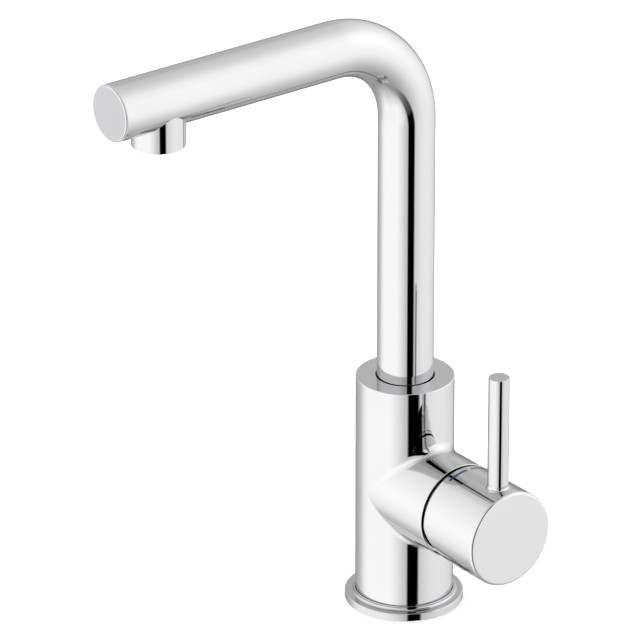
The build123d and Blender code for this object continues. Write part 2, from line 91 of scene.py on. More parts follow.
class Skin:
    """A mesh made of exact surfaces: each face corner carries the true normal of its surface. Millimetres."""

    def __init__(self):
        self.points, self.known, self.faces, self.normals = [], {}, [], []

    def corner(self, p):
        key = (round(p[0] * 2000), round(p[1] * 2000), round(p[2] * 2000))
        if key not in self.known:
            self.known[key] = len(self.points)
            self.points.append((p[0] * MM, p[1] * MM, p[2] * MM))
        return self.known[key]

    def face(self, corners):
        """corners: (point, normal) pairs in order round the face, either way round."""
        ids = [self.corner(p) for p, _ in corners]
        keep = [i for i in range(len(ids)) if ids[i] != ids[i - 1]]
        ids, nrm = [ids[i] for i in keep], [corners[i][1] for i in keep]
        if len(ids) < 3 or len(set(ids)) < len(ids):
            return
        out = [0.0, 0.0, 0.0]
        p0 = Vector(self.points[ids[0]])
        for a, b in zip(ids[1:], ids[2:]):
            c = (Vector(self.points[a]) - p0).cross(Vector(self.points[b]) - p0)
            out = [out[0] + c.x, out[1] + c.y, out[2] + c.z]
        mean = [sum(n[k] for n in nrm) for k in range(3)]
        if sum(o * m for o, m in zip(out, mean)) < 0:
            ids.reverse()
            nrm.reverse()
        self.faces.append(ids)
        self.normals += nrm

    def grid(self, rows):
        """rows of (point, normal); neighbouring rows are joined by four-sided faces."""
        for a, b in zip(rows, rows[1:]):
            for i in range(len(a) - 1):
                self.face((a[i], a[i + 1], b[i + 1], b[i]))

    def disc(self, loops, normal, place):
        """Flat face bounded by 2-D loops, the first outside and the rest holes. place turns (u, v) into a point."""
        flat, edges, inside = [], [], []
        for loop in loops:
            first = len(flat)
            flat += [Vector(p) for p in loop]
            edges += [(first + i, first + (i + 1) % len(loop)) for i in range(len(loop))]
        verts, _, faces, *_ = delaunay_2d_cdt(flat, edges, [], 0, 1e-7)
        for f in faces:
            mid = sum((verts[i] for i in f), Vector((0.0, 0.0))) / len(f)
            if within(mid, loops[0]) and not any(within(mid, hole) for hole in loops[1:]):
                self.face([(place(verts[i][0], verts[i][1]), normal) for i in f])

    def build(self, name):
        mesh = bpy.data.meshes.new(name)
        mesh.from_pydata(self.points, [], self.faces)
        mesh.polygons.foreach_set("use_smooth", [True] * len(mesh.polygons))
        mesh.normals_split_custom_set([unit(n) for n in self.normals])
        mesh.update()
        piece = bpy.data.objects.new(name, mesh)
        scene.collection.objects.link(piece)
        return piece


def within(p, loop):
    hit = False
    for i in range(len(loop)):
        (x0, y0), (x1, y1) = loop[i - 1], loop[i]
        if (y0 > p[1]) != (y1 > p[1]) and p[0] < (x1 - x0) * (p[1] - y0) / (y1 - y0) + x0:
            hit = not hit
    return hit


def outline(*items, n=8, left=True):
    """Runs of (a, r, na, nr) for a section, from corner points (a, r) or (a, r, rounding radius).
    The open side is to the left of the direction of travel in the (a, r) plane, or to its right.
    A corner given as a dict {"c": (a, r), "to": (a, r)} is an arc about c to the next point."""
    runs = []
    at = items[0][:2]
    for i in range(1, len(items)):
        item = items[i]
        if isinstance(item, dict):
            (ca, cr), end = item["c"], item["to"]
            rad = math.hypot(at[0] - ca, at[1] - cr)
            t0 = math.atan2(at[1] - cr, at[0] - ca)
            t1 = math.atan2(end[1] - cr, end[0] - ca)
            while t1 - t0 > math.pi:
                t1 -= 2 * math.pi
            while t1 - t0 < -math.pi:
                t1 += 2 * math.pi
            sign = 1.0 if t1 > t0 else -1.0
            count = item.get("n", n)
            runs.append([(ca + rad * math.cos(t), cr + rad * math.sin(t), sign * math.cos(t), sign * math.sin(t))
                         for t in (t0 + (t1 - t0) * k / count for k in range(count + 1))])
            at = end
            continue
        end = item[:2]
        rounding = item[2] if len(item) > 2 else 0.0
        stop, arc = end, None
        if rounding and i + 1 < len(items):
            nxt = items[i + 1]
            nxt = nxt[:2] if not isinstance(nxt, dict) else nxt["to"]
            d0 = (end[0] - at[0], end[1] - at[1])
            d1 = (nxt[0] - end[0], nxt[1] - end[1])
            l0, l1 = math.hypot(*d0), math.hypot(*d1)
            d0, d1 = (d0[0] / l0, d0[1] / l0), (d1[0] / l1, d1[1] / l1)
            turn = math.atan2(d0[0] * d1[1] - d0[1] * d1[0], d0[0] * d1[0] + d0[1] * d1[1])
            back = rounding * math.tan(abs(turn) / 2)
            stop = (end[0] - d0[0] * back, end[1] - d0[1] * back)
            away = (end[0] + d1[0] * back, end[1] + d1[1] * back)
            side = 1.0 if turn > 0 else -1.0
            centre = (stop[0] - d0[1] * rounding * side, stop[1] + d0[0] * rounding * side)
            arc = (centre, away, side)
        d = (stop[0] - at[0], stop[1] - at[1])
        length = math.hypot(*d)
        if length > 1e-9:
            na, nr = d[1] / length, -d[0] / length
            runs.append([(at[0], at[1], na, nr), (stop[0], stop[1], na, nr)])
        at = stop
        if arc:
            centre, away, side = arc
            t0 = math.atan2(stop[1] - centre[1], stop[0] - centre[0])
            t1 = math.atan2(away[1] - centre[1], away[0] - centre[0])
            while t1 - t0 > math.pi:
                t1 -= 2 * math.pi
            while t1 - t0 < -math.pi:
                t1 += 2 * math.pi
            runs.append([(centre[0] + rounding * math.cos(t), centre[1] + rounding * math.sin(t), side * math.cos(t), side * math.sin(t))
                         for t in (t0 + (t1 - t0) * k / n for k in range(n + 1))])
            at = away
    if left:
        runs = [[(a, r, -na, -nr) for a, r, na, nr in run] for run in runs]
    return runs


def circle(r, cx=0.0, cy=0.0, count=TURNS, ccw=True):
    return [(cx + r * math.cos(2 * math.pi * i / count), cy + r * math.sin(2 * math.pi * i / count)) for i in range(count)]


def turn_z(skin, runs, x=0.0, y=0.0, count=TURNS):
    """Turns a section (a = z, r = radius) about a vertical axis."""
    for run in runs:
        rows = []
        for a, r, na, nr in run:
            rows.append([((x + r * math.cos(t), y + r * math.sin(t), a), (nr * math.cos(t), nr * math.sin(t), na))
                         for t in (2 * math.pi * i / count for i in range(count + 1))])
        skin.grid(rows)


def turn_x(skin, runs, y=0.0, z=AXIS_Z, count=TURNS):
    """Turns a section (a = x, r = radius) about an axis along X."""
    for run in runs:
        rows = []
        for a, r, na, nr in run:
            rows.append([((a, y + r * math.sin(t), z + r * math.cos(t)), (na, nr * math.sin(t), nr * math.cos(t)))
                         for t in (2 * math.pi * i / count for i in range(count + 1))])
        skin.grid(rows)


def turn_y(skin, runs, x=0.0, z=RUN_Z, count=TURNS):
    """Turns a section (a = y, r = radius) about an axis along Y."""
    for run in runs:
        rows = []
        for a, r, na, nr in run:
            rows.append([((x + r * math.sin(t), a, z + r * math.cos(t)), (nr * math.sin(t), na, nr * math.cos(t)))
                         for t in (2 * math.pi * i / count for i in range(count + 1))])
        skin.grid(rows)


# ------------------------------------------------------------------ body: column, side housing and the blend between them
def make_body():
    skin = Skin()
    big, small = BODY_R + BLEND_R, HOUSING_R + BLEND_R
    steps = 200
    cols, blend = [], []
    for i in range(steps + 1):
        t = -math.pi / 2 + math.pi * i / steps
        cy, h = small * math.sin(t), max(0.0, small * math.cos(t))
        cx = math.sqrt(big ** 2 - cy ** 2)
        cols.append((math.atan2(cy, cx), h))
        blend.append((cx, cy, h, t))
    last = cols[-1][0]
    rear = 200
    for i in range(1, rear):
        cols.append((last + (2 * math.pi - 2 * last) * i / rear, 0.0))
    cols.append((cols[0][0] + 2 * math.pi, cols[0][1]))

    def on_column(phi, z):
        n = (math.cos(phi), math.sin(phi), 0.0)
        return ((BODY_R * n[0], BODY_R * n[1], z), n)

    # patch round the rear screw hole
    patch_lo, patch_hi = 93.3, 101.7
    patch = [i for i, (phi, _) in enumerate(cols[:-1]) if abs(phi - math.pi / 2) < math.radians(10.2)]
    first, final = patch[0], patch[-1]
    top_edge = BODY_TOP - TOP_ROUND
    for i in range(len(cols) - 1):
        (p0, h0), (p1, h1) = cols[i], cols[i + 1]
        spans = [(BODY_FOOT, BODY_FOOT, AXIS_Z - h0, AXIS_Z - h1), (AXIS_Z + h0, AXIS_Z + h1, patch_lo, patch_lo), (patch_hi, patch_hi, top_edge, top_edge)]
        if not first <= i < final:
            spans.append((patch_lo, patch_lo, patch_hi, patch_hi))
        for a0, a1, b0, b1 in spans:
            skin.face((on_column(p0, a0), on_column(p1, a1), on_column(p1, b1), on_column(p0, b0)))
    rim = [(cols[i][0], patch_lo) for i in range(first, final + 1)] + [(cols[i][0], patch_hi) for i in range(final, first - 1, -1)]
    hole_r = 2.6
    loops = []
    for k in range(6):
        s = (k / 5) ** 1.3
        loop = []
        for phi, z in rim:
            u, v = -BODY_R * (phi - math.pi / 2), z - STOP_Z
            a = math.atan2(v, u)
            x, dz = hole_r * math.cos(a), hole_r * math.sin(a)
            phi_c = math.acos(x / BODY_R)
            loop.append(on_column(phi_c + (phi - phi_c) * s, STOP_Z + dz + (v - dz) * s))
        loops.append(loop + loop[:1])
    skin.grid(loops)
    # counterbore of the screw hole
    wall_out, wall_in, floor_in = [], [], []
    for (p, _) in loops[0]:
        a = math.atan2(p[2] - STOP_Z, p[0])
        n = (-math.cos(a), 0.0, -math.sin(a))
        wall_out.append((p, n))
        wall_in.append(((hole_r * math.cos(a), 20.4, STOP_Z + hole_r * math.sin(a)), n))
    skin.grid([wall_out, wall_in])
    centre = ((0.0, 20.4, STOP_Z), (0.0, 1.0, 0.0))
    for a, b in zip(wall_in, wall_in[1:]):
        skin.face(((a[0], (0.0, 1.0, 0.0)), (b[0], (0.0, 1.0, 0.0)), centre))

    # housing skin and rolling-ball blend, above and below
    arc_steps = 16
    for side in (1.0, -1.0):
        strip, out_edge = [], []
        for cx, cy, h, t in blend:
            c = (cx, cy, AXIS_Z + side * h)
            d1 = (-cx / big, -cy / big, 0.0)
            d2 = (0.0, -cy / small, -side * h / small)
            angle = math.acos(max(-1.0, min(1.0, d1[0] * d2[0] + d1[1] * d2[1] + d1[2] * d2[2])))
            row = []
            for k in range(arc_steps + 1):
                s = k / arc_steps
                if angle > 1e-6:
                    w1, w2 = math.sin((1 - s) * angle) / math.sin(angle), math.sin(s * angle) / math.sin(angle)
                else:
                    w1, w2 = 1 - s, s
                d = unit(tuple(w1 * a + w2 * b for a, b in zip(d1, d2)))
                row.append((tuple(c[j] + BLEND_R * d[j] for j in range(3)), (-d[0], -d[1], -d[2])))
            strip.append(row)
            n = (0.0, math.sin(t), side * math.cos(t))
            out_edge.append([((cx, HOUSING_R * n[1], AXIS_Z + HOUSING_R * n[2]), n),
                             ((HOUSING_END - HOUSING_ROUND, HOUSING_R * n[1], AXIS_Z + HOUSING_R * n[2]), n)])
        skin.grid(strip)
        skin.grid(out_edge)

    # top: rounded edge, flat face, spout socket. The rim follows the columns' angles.
    angles = [c[0] for c in cols]

    def turn_by(runs):
        for run in runs:
            skin.grid([[((r * math.cos(t), r * math.sin(t), a), (nr * math.cos(t), nr * math.sin(t), na)) for t in angles] for a, r, na, nr in run])

    turn_by(outline((top_edge, BODY_R), (BODY_TOP, BODY_R, TOP_ROUND), (BODY_TOP, SOCKET_R, 0.12), (SOCKET_FLOOR, SOCKET_R), (SOCKET_FLOOR, 0.0)))
    # foot: ring face and the wall of the hollow
    turn_by(outline((RECESS_TOP, RECESS_R), (BODY_FOOT, RECESS_R), (BODY_FOOT, BODY_R)))
    # ceiling of the hollow with the stud hole and both hose sockets
    ceiling = [(RECESS_R * math.cos(t), RECESS_R * math.sin(t)) for t in angles[:-1]]
    holes = [circle(3.324, -12.0, 0.0, 48), circle(4.5, 4.5, 8.0, 60), circle(4.5, 4.5, -8.0, 60)]
    skin.disc([ceiling] + holes, (0.0, 0.0, -1.0), lambda u, v: (u, v, RECESS_TOP))
    turn_z(skin, outline((44.0, 0.0), (42.0, 3.324), (RECESS_TOP, 3.324)), -12.0, 0.0, 48)
    for y in (8.0, -8.0):
        turn_z(skin, outline((70.0, 0.0), (68.4, 3.0), (36.0, 3.0), (36.0, 4.5), (RECESS_TOP, 4.5)), 4.5, y, 60)

    # front of the housing: rounded edge, mouth, thread, cartridge chamber. The rim follows the skin's angles.
    ts = [b[3] for b in blend]
    round_angles = ts + [math.pi - t for t in reversed(ts)][1:]

    def turn_front(runs):
        for run in runs:
            skin.grid([[((a, r * math.sin(t), AXIS_Z + r * math.cos(t)), (na, nr * math.sin(t), nr * math.cos(t))) for t in round_angles] for a, r, na, nr in run])

    turn_front(outline((12.0, 0.0), (12.0, 17.75), (33.5, 17.75), (33.5, 20.0), (38.5, 20.0), (38.5, MOUTH_R),
                       (HOUSING_END - MOUTH_CHAMFER, MOUTH_R), (HOUSING_END, MOUTH_EDGE_R), (HOUSING_END, HOUSING_R, HOUSING_ROUND), (HOUSING_END - HOUSING_ROUND, HOUSING_R), left=False))
    return skin.build("body_shell")


# ------------------------------------------------------------------ base ring
def make_ring():
    skin = Skin()
    turn_z(skin, outline(
        (2.5, 20.4), (0.0, 20.4), (0.0, 25.2), (1.5, 25.2), (1.5, 27.8), (0.0, 27.8), (0.0, 29.47, 0.2), (4.0, 29.47, 0.6),
        (4.0, 25.3, 1.3), (6.0, 25.3, 0.25), (6.0, 24.65), (2.5, 24.65), (2.5, 20.4)))
    return skin.build("base_ring_skin")


# ------------------------------------------------------------------ spout
def make_tube():
    skin = Skin()
    around = [2 * math.pi * i / TURNS for i in range(TURNS + 1)]
    bend = 120

    def wall(r, sign):
        rows = []
        stations = [(0.0, TUBE_FOOT)] + [(0.0, TUBE_FOOT + (RUN_Z - BEND_R - TUBE_FOOT) * k / 12) for k in range(1, 12)]
        for y, z in stations:
            rows.append([((r * math.sin(t), y + r * math.cos(t), z), (sign * math.sin(t), sign * math.cos(t), 0.0)) for t in around])
        for k in range(bend + 1):
            b = math.pi / 2 * k / bend
            # (cos t) axis turns from +Y to +Z, seen from the bend's centre
            cy, cz = -BEND_R + BEND_R * math.cos(b), RUN_Z - BEND_R + BEND_R * math.sin(b)
            oy, oz = math.cos(b), math.sin(b)
            rows.append([((r * math.sin(t), cy + r * math.cos(t) * oy, cz + r * math.cos(t) * oz),
                          (sign * math.sin(t), sign * math.cos(t) * oy, sign * math.cos(t) * oz)) for t in around])
        end = -(TUBE_END - (TUBE_LIP if sign > 0 else 0.0))
        for k in range(1, 9):
            y = -BEND_R + (end + BEND_R) * k / 8
            rows.append([((r * math.sin(t), y, RUN_Z + r * math.cos(t)), (sign * math.sin(t), 0.0, sign * math.cos(t))) for t in around])
        skin.grid(rows)

    wall(TUBE_R, 1.0)
    wall(TUBE_BORE_R, -1.0)
    # the two cut ends
    foot = [[((r * math.sin(t), r * math.cos(t), TUBE_FOOT), (0.0, 0.0, -1.0)) for t in around] for r in (TUBE_R, TUBE_BORE_R)]
    skin.grid(foot)
    turn_y(skin, outline((-TUBE_END, TUBE_BORE_R), (-TUBE_END, TUBE_R, TUBE_LIP), (TUBE_LIP - TUBE_END, TUBE_R)))
    return skin.build("spout_tube_skin")


def make_end_cap():
    skin = Skin()
    spigot = TUBE_BORE_R - 0.05
    # section from the centre of the front face, over the rounded rim, to the spigot in the tube; a = y
    turn_y(skin, outline((-SPOUT_END, 0.0), (-SPOUT_END, END_R, END_ROUND), (-TUBE_END, END_R), (-TUBE_END, spigot),
                         (5.0 - TUBE_END, spigot), (5.0 - TUBE_END, 0.0)))
    return skin.build("spout_end_disc")


def make_outlet():
    skin = Skin()
    count = 240
    seat = lambda x: RUN_Z - math.sqrt(TUBE_R ** 2 - min(TUBE_R, abs(x)) ** 2)
    around = [2 * math.pi * i / count for i in range(count + 1)]

    def wall(r, sign, z0):
        rows = []
        for k in range(7):
            rows.append([((r * math.cos(t), -OUTLET_Y + r * math.sin(t), z0 + (seat(r * math.cos(t)) - z0) * k / 6), (sign * math.cos(t), sign * math.sin(t), 0.0)) for t in around])
        return rows

    skin.grid(wall(OUTLET_R, 1.0, OUTLET_Z + 0.25))
    skin.grid(wall(9.0, -1.0, 289.6))
    # saddle on the tube
    rows = []
    for k in range(9):
        r = 9.0 + (OUTLET_R - 9.0) * k / 8
        row = []
        for t in around:
            x, y = r * math.cos(t), r * math.sin(t)
            z = seat(x)
            row.append(((x, y - OUTLET_Y, z), (-x / TUBE_R, 0.0, (RUN_Z - z) / TUBE_R)))
        rows.append(row)
    skin.grid(rows)
    turn_z(skin, outline((289.6, 9.0), (289.6, 10.5), (OUTLET_Z, 10.5, 0.12), (OUTLET_Z, OUTLET_R, 0.25), (OUTLET_Z + 0.25, OUTLET_R)), 0.0, -OUTLET_Y, count)
    return skin.build("outlet_skin")


# ------------------------------------------------------------------ handle
def relief_x(d):
    """Start of the cap at depth d below the handle axis."""
    return CAP_START if d <= 1.0 else CAP_START + 0.248 * (d - 1) + 0.0248 * (d - 1) ** 2


def hollow_r(x):
    bore_start = PIVOT_X + math.sqrt(CAP_SPHERE_R ** 2 - CAP_BORE_R ** 2)
    return CAP_BORE_R if x >= bore_start else math.sqrt(CAP_SPHERE_R ** 2 - (x - PIVOT_X) ** 2)


def make_cap():
    skin = Skin()
    count = 360
    around = [2 * math.pi * i / count for i in range(count + 1)]
    bore_start = PIVOT_X + math.sqrt(CAP_SPHERE_R ** 2 - CAP_BORE_R ** 2)
    outer, rim, inner = [], [], []
    for t in around:
        s, c = math.sin(t), math.cos(t)
        n = (0.0, s, c)
        # inner end of the rim
        lo, hi = CAP_BORE_R - 1.0, CAP_R
        for _ in range(50):
            mid = (lo + hi) / 2
            if mid > hollow_r(relief_x(-mid * c)):
                hi = mid
            else:
                lo = mid
        r_in = (lo + hi) / 2
        x_out, x_in = relief_x(-CAP_R * c), relief_x(-r_in * c)
        outer.append([((x_out + (CAP_END - CAP_ROUND - x_out) * k / 8, CAP_R * s, AXIS_Z + CAP_R * c), n) for k in range(9)])
        row = []
        for k in range(5):
            r = CAP_R + (r_in - CAP_R) * k / 4
            d = -r * c
            slope = 0.0 if d <= 1.0 else 0.248 + 0.0496 * (d - 1)
            row.append(((relief_x(d), r * s, AXIS_Z + r * c), unit((-1.0, 0.0, -slope))))
        rim.append(row)
        row = []
        start = min(x_in, bore_start)
        for k in range(9):
            x = start + (bore_start - start) * k / 8
            r = hollow_r(x)
            if x_in >= bore_start:
                x, r = x_in, CAP_BORE_R
            row.append(((x, r * s, AXIS_Z + r * c), unit((-(x - PIVOT_X) if r > CAP_BORE_R else 0.0, -r * s, -r * c))))
        inner.append(row)
    skin.grid(outer)
    skin.grid(rim)
    skin.grid(inner)
    # bore behind the sphere
    skin.grid([[(row[-1][0], (0.0, -math.sin(t), -math.cos(t))) for row, t in zip(inner, around)],
               [((CAP_FLOOR, CAP_BORE_R * math.sin(t), AXIS_Z + CAP_BORE_R * math.cos(t)), (0.0, -math.sin(t), -math.cos(t))) for t in around]])
    turn_x(skin, outline((57.0, 3.0), (57.0, BOSS_R, 0.3), (CAP_FLOOR, BOSS_R, 0.0), (CAP_FLOOR, CAP_BORE_R))[::1], count=count)
    turn_x(skin, outline((57.0, 0.0), (57.0, 3.0)), count=count)
    turn_x(skin, outline((CAP_END, 0.0), (CAP_END, CAP_R, CAP_ROUND), (CAP_END - CAP_ROUND, CAP_R), n=16, left=False), count=count)
    return skin.build("handle_cap_skin")


def make_cover():
    skin = Skin()
    across = lambda r, x: math.sqrt(r ** 2 - (x - PIVOT_X) ** 2)
    dome = {"c": (PIVOT_X, 0.0), "to": (COVER_END, across(DOME_R, COVER_END)), "n": 40}
    bowl = {"c": (PIVOT_X, 0.0), "to": (PIVOT_X, DOME_IN_R), "n": 40}
    section = outline((38.5, DOME_IN_R), (38.5, 23.2), (SKIRT_END, 23.2, 0.1), (SKIRT_END, across(DOME_R, SKIRT_END)), dome,
                      (COVER_END, across(DOME_IN_R, COVER_END)), bowl, (38.5, DOME_IN_R))
    turn_x(skin, section)
    return skin.build("cover_dome_skin")


def make_pin():
    skin = Skin()
    count = 192
    around = [2 * math.pi * i / count for i in range(count + 1)]
    seat = lambda y: AXIS_Z + math.sqrt(CAP_R ** 2 - y ** 2)

    def place(r, z, nr, nz, t):
        return ((PIN_X + r * math.cos(t), r * math.sin(t), z), (nr * math.cos(t), nr * math.sin(t), nz))

    # foot that follows the cap, a small flare, then the straight pin
    rows = [[place(6.0, seat(6.0 * math.sin(t)), 1.0, 0.0, t) for t in around]]
    rows.append([place(6.0, 88.5, 1.0, 0.05, t) for t in around])
    skin.grid(rows)
    curve = [(6.0, 88.5), (5.76, 88.6), (5.55, 88.75), (5.39, 88.96), (5.27, 89.2), (5.205, 89.5), (PIN_R, 89.8)]
    rows = []
    for k, (r, z) in enumerate(curve):
        a = curve[max(0, k - 1)]
        b = curve[min(len(curve) - 1, k + 1)]
        dr, dz = b[0] - a[0], b[1] - a[1]
        if k == len(curve) - 1:
            dr, dz = 0.0, 1.0
        n = unit((dz, 0.0, -dr))
        rows.append([place(r, z, n[0], n[2], t) for t in around])
    skin.grid(rows)
    straight = [89.8, 100.0, 112.0, 124.0, 136.0, PIN_TOP - 0.35]
    skin.grid([[place(PIN_R, z, 1.0, 0.0, t) for t in around] for z in straight])
    turn_z(skin, outline((PIN_TOP - 0.35, PIN_R), (PIN_TOP, PIN_R, 0.35), (PIN_TOP, 0.0)), PIN_X, 0.0, count)
    # seat on the cap and the threaded end in it
    rows = []
    for k in range(7):
        r = 6.0 + (2.95 - 6.0) * k / 6
        row = []
        for t in around:
            x, y = r * math.cos(t), r * math.sin(t)
            z = seat(y)
            row.append(((PIN_X + x, y, z), (0.0, -y / CAP_R, -(z - AXIS_Z) / CAP_R)))
        rows.append(row)
    skin.grid(rows)
    skin.grid([[place(2.95, seat(2.95 * math.sin(t)), 1.0, 0.0, t) for t in around], [place(2.95, AXIS_Z + 12.5, 1.0, 0.0, t) for t in around]])
    skin.grid([[place(2.95, AXIS_Z + 12.5, 0.0, -1.0, t) for t in around], [place(0.0, AXIS_Z + 12.5, 0.0, -1.0, t) for t in around]])
    return skin.build("lever_pin_skin")


def make_mark(name, a0, a1):
    """Enamel inlay: a thin pad bent round the cap, with soft edges. Angles in degrees from the top towards -Y."""
    skin = Skin()
    x0, x1, top, deep = 49.1, 50.8, CAP_R + 0.03, CAP_R - 0.3
    rows = []
    count = 48
    half = (x1 - x0) / 2
    section = [(-half, deep), (-half, top - 0.08), (-half + 0.03, top - 0.03), (-half + 0.08, top), (half - 0.08, top), (half - 0.03, top - 0.03), (half, top - 0.08), (half, deep)]
    ends = [0.0, 0.02, 0.05, 0.1, 0.2, 0.35, 0.6]
    length = math.radians(a1 - a0) * CAP_R
    stations = [e for e in ends] + [0.6 + (length - 1.2) * k / count for k in range(1, count)] + [length - e for e in reversed(ends)]
    for s in stations:
        near = min(s, length - s)
        w = math.sqrt(max(0.0, 1 - (1 - min(1.0, near / 0.6)) ** 2))
        w = max(w, 0.02)
        a = math.radians(a0) + s / CAP_R
        row = []
        for u, r in section:
            p = ((x0 + x1) / 2 + u * w, -r * math.sin(a), AXIS_Z + r * math.cos(a))
            row.append((p, (0.35 * u / half if r < top - 0.01 else 0.0, -math.sin(a), math.cos(a))))
        rows.append(row)
    skin.grid(rows)
    for row, side in ((rows[0], -1.0), (rows[-1], 1.0)):
        a = math.atan2(-row[0][0][1], row[0][0][2] - AXIS_Z)
        n = (0.0, -side * math.cos(a), -side * math.sin(a))
        skin.face([(p, n) for p, _ in row])
    skin.grid([[(row[0][0], (0.0, 1.0, -1.0)) for row in rows], [(row[-1][0], (0.0, 1.0, -1.0)) for row in rows]])
    return skin.build(name)


pieces = {
    "body_shell": (make_body(), "body", "body_casting", "chrome"),
    "base_ring_skin": (make_ring(), "body", "base_ring", "chrome"),
    "cover_dome_skin": (make_cover(), "body", "cartridge_cover", "chrome"),
    "spout_tube_skin": (make_tube(), "spout", "spout_tube", "chrome"),
    "spout_end_disc": (make_end_cap(), "spout", "spout_end_cap", "chrome"),
    "outlet_skin": (make_outlet(), "spout", "outlet_socket", "chrome"),
    "handle_cap_skin": (make_cap(), "handle", "handle_cap", "chrome"),
    "lever_pin_skin": (make_pin(), "handle", "lever_pin", "chrome"),
    "cold_mark_inlay": (make_mark("cold_mark_inlay", 0.8, 27.5), "handle", "cold_mark", "blue_enamel"),
    "hot_mark_inlay": (make_mark("hot_mark_inlay", -26.0, -4.5), "handle", "hot_mark", "red_enamel"),
}
for piece, body, node, slot in pieces.values():
    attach(piece, body)
    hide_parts(node)


# ------------------------------------------------------------------ materials
def shader(name, colour, metallic=0.0, roughness=0.5, **more):
    mat = bpy.data.materials.new(name)
    mat.use_nodes = True
    node = mat.node_tree.nodes["Principled BSDF"]
    node.inputs["Base Color"].default_value = (*colour, 1.0)
    node.inputs["Metallic"].default_value = metallic
    node.inputs["Roughness"].default_value = roughness
    for key, value in more.items():
        node.inputs[key.replace("_", " ")].default_value = value
    return mat, mat.node_tree, node


def noise(tree, scale, detail=3.0, stretch=(1.0, 1.0, 1.0)):
    coords = tree.nodes.new("ShaderNodeTexCoord")
    mapping = tree.nodes.new("ShaderNodeMapping")
    mapping.inputs["Scale"].default_value = stretch
    tex = tree.nodes.new("ShaderNodeTexNoise")
    tex.inputs["Scale"].default_value = scale
    tex.inputs["Detail"].default_value = detail
    tree.links.new(coords.outputs["Object"], mapping.inputs["Vector"])
    tree.links.new(mapping.outputs["Vector"], tex.inputs["Vector"])
    return tex.outputs["Fac"]


def ramp(tree, value, stops):
    node = tree.nodes.new("ShaderNodeValToRGB")
    while len(node.color_ramp.elements) < len(stops):
        node.color_ramp.elements.new(0.5)
    for e, (at, c) in zip(node.color_ramp.elements, stops):
        e.position = at
        e.color = (*c, 1.0) if len(c) == 3 else c
    tree.links.new(value, node.inputs["Fac"])
    return node.outputs["Color"]


def span(tree, value, lo, hi, a=0.3, b=0.7):
    node = tree.nodes.new("ShaderNodeMapRange")
    node.inputs["From Min"].default_value = a
    node.inputs["From Max"].default_value = b
    node.inputs["To Min"].default_value = lo
    node.inputs["To Max"].default_value = hi
    tree.links.new(value, node.inputs["Value"])
    return node.outputs["Result"]


def bump(tree, node, height, strength, distance):
    b = tree.nodes.new("ShaderNodeBump")
    b.inputs["Strength"].default_value = strength
    b.inputs["Distance"].default_value = distance
    tree.links.new(height, b.inputs["Height"])
    tree.links.new(b.outputs["Normal"], node.inputs["Normal"])


mat, tree, node = shader("chrome_plate", (0.47, 0.47, 0.475), 1.0, 0.02)
tree.links.new(span(tree, noise(tree, 140.0, 4.0), 0.004, 0.022), node.inputs["Roughness"])
tree.links.new(ramp(tree, noise(tree, 35.0), [(0.3, (0.466, 0.466, 0.471)), (0.7, (0.474, 0.474, 0.479))]), node.inputs["Base Color"])
chrome = mat

# the end disc's flat face is satin, softer than the tube; its darker base colour is painted shade
mat, tree, node = shader("chrome_satin_painted_shade_disc", (0.39, 0.39, 0.396), 1.0, 0.02)
tree.links.new(span(tree, noise(tree, 140.0, 4.0), 0.27, 0.31), node.inputs["Roughness"])
# darker tones in this ramp: painted shade on the disc's flat face
tree.links.new(ramp(tree, noise(tree, 35.0), [(0.3, (0.386, 0.386, 0.394)), (0.7, (0.394, 0.394, 0.402))]), node.inputs["Base Color"])
satin_disc_painted_shade = mat

# painted shade: the loose ring and the lever pin each get a darker copy of the chrome
mat, tree, node = shader("chrome_painted_shade_ring", (0.415, 0.415, 0.421), 1.0, 0.02)
tree.links.new(span(tree, noise(tree, 140.0, 4.0), 0.004, 0.022), node.inputs["Roughness"])
tree.links.new(ramp(tree, noise(tree, 35.0), [(0.3, (0.411, 0.411, 0.417)), (0.7, (0.419, 0.419, 0.425))]), node.inputs["Base Color"])
ring_chrome_painted_shade = mat

# darker chrome copy for the lever pin: painted shade
mat, tree, node = shader("chrome_painted_shade_pin", (0.448, 0.448, 0.454), 1.0, 0.02)
tree.links.new(span(tree, noise(tree, 140.0, 4.0), 0.004, 0.022), node.inputs["Roughness"])
tree.links.new(ramp(tree, noise(tree, 35.0), [(0.3, (0.444, 0.444, 0.45)), (0.7, (0.452, 0.452, 0.458))]), node.inputs["Base Color"])
pin_chrome_painted_shade = mat

mat, tree, node = shader("machined_brass", (0.72, 0.5, 0.22), 1.0, 0.3)
tree.links.new(span(tree, noise(tree, 400.0, 4.0), 0.22, 0.4), node.inputs["Roughness"])
tree.links.new(ramp(tree, noise(tree, 90.0), [(0.3, (0.66, 0.45, 0.19)), (0.7, (0.78, 0.56, 0.27))]), node.inputs["Base Color"])
brass = mat

mat, tree, node = shader("stainless_steel", (0.6, 0.6, 0.6), 1.0, 0.28)
tree.links.new(span(tree, noise(tree, 600.0, 4.0), 0.2, 0.36), node.inputs["Roughness"])
tree.links.new(ramp(tree, noise(tree, 120.0), [(0.3, (0.52, 0.52, 0.53)), (0.7, (0.64, 0.64, 0.65))]), node.inputs["Base Color"])
steel = mat

mat, tree, node = shader("black_rubber", (0.02, 0.02, 0.02), 0.0, 0.6)
tree.links.new(span(tree, noise(tree, 500.0, 4.0), 0.5, 0.75), node.inputs["Roughness"])
tree.links.new(ramp(tree, noise(tree, 150.0), [(0.3, (0.014, 0.014, 0.015)), (0.7, (0.03, 0.03, 0.032))]), node.inputs["Base Color"])
bump(tree, node, noise(tree, 900.0, 2.0), 0.2, 0.0001)
rubber = mat

mat, tree, node = shader("alumina_ceramic", (0.85, 0.84, 0.8), 0.0, 0.15)
tree.links.new(span(tree, noise(tree, 700.0, 4.0), 0.1, 0.22), node.inputs["Roughness"])
tree.links.new(ramp(tree, noise(tree, 200.0), [(0.3, (0.8, 0.79, 0.74)), (0.7, (0.88, 0.87, 0.83))]), node.inputs["Base Color"])
ceramic = mat

